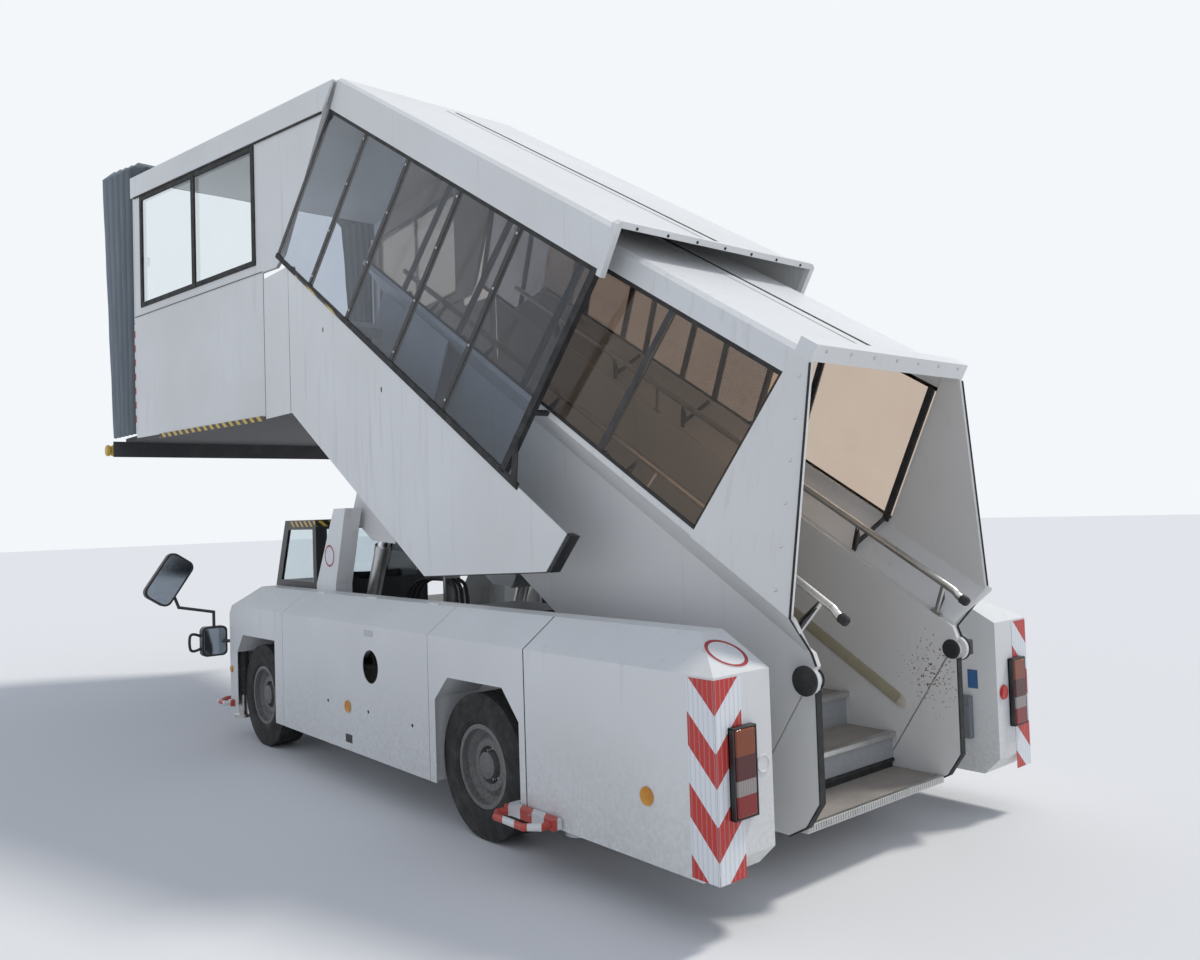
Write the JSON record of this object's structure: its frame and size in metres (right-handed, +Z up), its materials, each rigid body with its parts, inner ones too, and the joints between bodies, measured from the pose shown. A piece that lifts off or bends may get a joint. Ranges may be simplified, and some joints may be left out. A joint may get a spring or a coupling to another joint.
{
  "type": "self-propelled covered telescopic passenger stairs",
  "caption": "Self-propelled airport passenger stairs: a low cab and side fairings carry a covered telescopic flight up to a glazed platform cabin with a folded shroud.",
  "frame": {"origin": "on the ground under the middle of the overall length, on the vehicle's centre plane", "axes": "+X to the rear, towards the stair foot; +Y to the vehicle's right; +Z up"},
  "size_m": [8.6858, 3.6434, 5.509],
  "materials": {
    "white_paint": "satin",
    "frame_paint": "satin",
    "engine_paint": "matte",
    "grey_paint": "satin",
    "bow_paint": "gloss",
    "rim_paint": "satin",
    "steel": "satin",
    "rod_chrome": "polished",
    "rail_aluminium": "satin",
    "clear_glass": "gloss",
    "bronze_glass": "gloss",
    "blue_glass": "gloss",
    "black_plastic": "matte",
    "lamp_plastic": "gloss",
    "tread_rubber": "matte",
    "bumper_rubber": "matte",
    "black_fabric": "matte",
    "shroud_fabric": "matte",
    "tyre_rubber": "matte"
  },
  "bodies": {
    "chassis": {"chassis_frame": "frame_paint", "front_axle": "frame_paint", "rear_axle": "frame_paint", "engine_block": "engine_paint", "hydraulic_tank": "grey_paint", "fairing_left": "white_paint", "fairing_right": "white_paint", "front_panel": "white_paint", "front_deck": "grey_paint", "cab_shell": "white_paint", "cab_glass": "clear_glass", "cab_seat": "black_fabric", "cab_controls": "black_plastic", "pillars": "white_paint", "mirror_left": "black_plastic", "mirror_right": "black_plastic", "lamps": "lamp_plastic", "guard_bows": "bow_paint"},
    "side_door_left": {"door_left": "white_paint"},
    "side_door_right": {"door_right": "white_paint"},
    "driver_door": {"cab_door": "white_paint"},
    "jack_fl": {"jack_leg_fl": "steel"},
    "jack_fr": {"jack_leg_fr": "steel"},
    "jack_rl": {"jack_leg_rl": "steel"},
    "jack_rr": {"jack_leg_rr": "steel"},
    "steer_left": {"knuckle_left": "frame_paint"},
    "steer_right": {"knuckle_right": "frame_paint"},
    "wheel_fl": {"tyre_fl": "tyre_rubber", "rim_fl": "rim_paint"},
    "wheel_fr": {"tyre_fr": "tyre_rubber", "rim_fr": "rim_paint"},
    "wheel_rl": {"tyre_rl": "tyre_rubber", "rim_rl": "rim_paint"},
    "wheel_rr": {"tyre_rr": "tyre_rubber", "rim_rr": "rim_paint"},
    "barrel_left": {"lift_barrel_left": "steel"},
    "barrel_right": {"lift_barrel_right": "steel"},
    "rod_left": {"lift_rod_left": "rod_chrome"},
    "rod_right": {"lift_rod_right": "rod_chrome"},
    "lower_flight": {"lower_walls": "white_paint", "lower_steps": "grey_paint", "lower_treads": "tread_rubber", "lower_roof": "white_paint", "lower_glazing": "bronze_glass", "lower_posts": "black_plastic", "lower_handrails": "rail_aluminium"},
    "upper_flight": {"upper_walls": "white_paint", "upper_steps": "grey_paint", "upper_roof": "white_paint", "upper_glazing": "blue_glass", "upper_posts": "black_plastic"},
    "platform": {"platform_floor": "grey_paint", "platform_walls": "white_paint", "platform_roof": "white_paint", "platform_glazing": "clear_glass", "platform_bellows": "shroud_fabric", "platform_bumper": "bumper_rubber"},
    "foot": {"foot_unit": "white_paint"}
  },
  "joints": [
    {"name": "elevation", "type": "hinge", "parent": "chassis", "child": "lower_flight", "pos_m": [3.71062, 0, 0.68], "axis": [0, 1, 0], "range_deg": [0, 8]},
    {"name": "telescope", "type": "slide", "parent": "lower_flight", "child": "upper_flight", "axis": [-0.8526, 0, 0.5225], "range_m": [0, 1.5]},
    {"name": "platform_level", "type": "hinge", "parent": "upper_flight", "child": "platform", "pos_m": [-0.13937, 0, 2.575], "axis": [0, 1, 0], "range_deg": [-8, 0]},
    {"name": "foot_level", "type": "hinge", "parent": "lower_flight", "child": "foot", "pos_m": [4.21563, 0, 0.95], "axis": [0, 1, 0], "range_deg": [-8, 0]},
    {"name": "barrel_left_tilt", "type": "hinge", "parent": "chassis", "child": "barrel_left", "pos_m": [0.12662, -0.68, 0.7], "axis": [0, 1, 0], "range_deg": [-1.2, 0.2]},
    {"name": "barrel_right_tilt", "type": "hinge", "parent": "chassis", "child": "barrel_right", "pos_m": [0.12662, 0.68, 0.7], "axis": [0, 1, 0], "range_deg": [-1.2, 0.2]},
    {"name": "rod_left_stroke", "type": "slide", "parent": "barrel_left", "child": "rod_left", "axis": [0.4008, 0, 0.9162], "range_m": [0, 0.47]},
    {"name": "rod_right_stroke", "type": "slide", "parent": "barrel_right", "child": "rod_right", "axis": [0.4008, 0, 0.9162], "range_m": [0, 0.47]},
    {"name": "steer_left_pin", "type": "hinge", "parent": "chassis", "child": "steer_left", "pos_m": [-0.52438, -0.93, 0.384], "axis": [0, 0, 1], "range_deg": [-32, 32]},
    {"name": "steer_right_pin", "type": "hinge", "parent": "chassis", "child": "steer_right", "pos_m": [-0.52438, 0.93, 0.384], "axis": [0, 0, 1], "range_deg": [-32, 32]},
    {"name": "wheel_fl_spin", "type": "hinge", "parent": "steer_left", "child": "wheel_fl", "pos_m": [-0.52438, -1.087, 0.384], "axis": [0, 1, 0], "continuous": true},
    {"name": "wheel_fr_spin", "type": "hinge", "parent": "steer_right", "child": "wheel_fr", "pos_m": [-0.52438, 1.087, 0.384], "axis": [0, 1, 0], "continuous": true},
    {"name": "wheel_rl_spin", "type": "hinge", "parent": "chassis", "child": "wheel_rl", "pos_m": [2.50563, -1.087, 0.384], "axis": [0, 1, 0], "continuous": true},
    {"name": "wheel_rr_spin", "type": "hinge", "parent": "chassis", "child": "wheel_rr", "pos_m": [2.50563, 1.087, 0.384], "axis": [0, 1, 0], "continuous": true},
    {"name": "jack_fl_slide", "type": "slide", "parent": "chassis", "child": "jack_fl", "axis": [0, 0, -1], "range_m": [0, 0.145]},
    {"name": "jack_fr_slide", "type": "slide", "parent": "chassis", "child": "jack_fr", "axis": [0, 0, -1], "range_m": [0, 0.145]},
    {"name": "jack_rl_slide", "type": "slide", "parent": "chassis", "child": "jack_rl", "axis": [0, 0, -1], "range_m": [0, 0.145]},
    {"name": "jack_rr_slide", "type": "slide", "parent": "chassis", "child": "jack_rr", "axis": [0, 0, -1], "range_m": [0, 0.145]},
    {"name": "side_door_left_hinge", "type": "hinge", "parent": "chassis", "child": "side_door_left", "pos_m": [1.06062, -1.05, 1.19], "axis": [-1, 0, 0], "range_deg": [0, 75]},
    {"name": "side_door_right_hinge", "type": "hinge", "parent": "chassis", "child": "side_door_right", "pos_m": [1.06062, 1.05, 1.19], "axis": [1, 0, 0], "range_deg": [0, 75]},
    {"name": "driver_door_hinge", "type": "hinge", "parent": "chassis", "child": "driver_door", "pos_m": [-0.20237, 0.05, 1.1], "axis": [0, 0, -1], "range_deg": [0, 85]}
  ],
  "couplings": [
    {"joint": "platform_level", "follows": "elevation", "ratio": -1},
    {"joint": "foot_level", "follows": "elevation", "ratio": -1},
    {"joint": "barrel_left_tilt", "follows": "elevation", "ratio": -0.1188},
    {"joint": "barrel_right_tilt", "follows": "elevation", "ratio": -0.1188},
    {"joint": "rod_left_stroke", "follows": "elevation", "m_per_rad": 3.3026},
    {"joint": "rod_right_stroke", "follows": "elevation", "m_per_rad": 3.3026},
    {"joint": "steer_right_pin", "follows": "steer_left_pin", "ratio": 1}
  ]
}
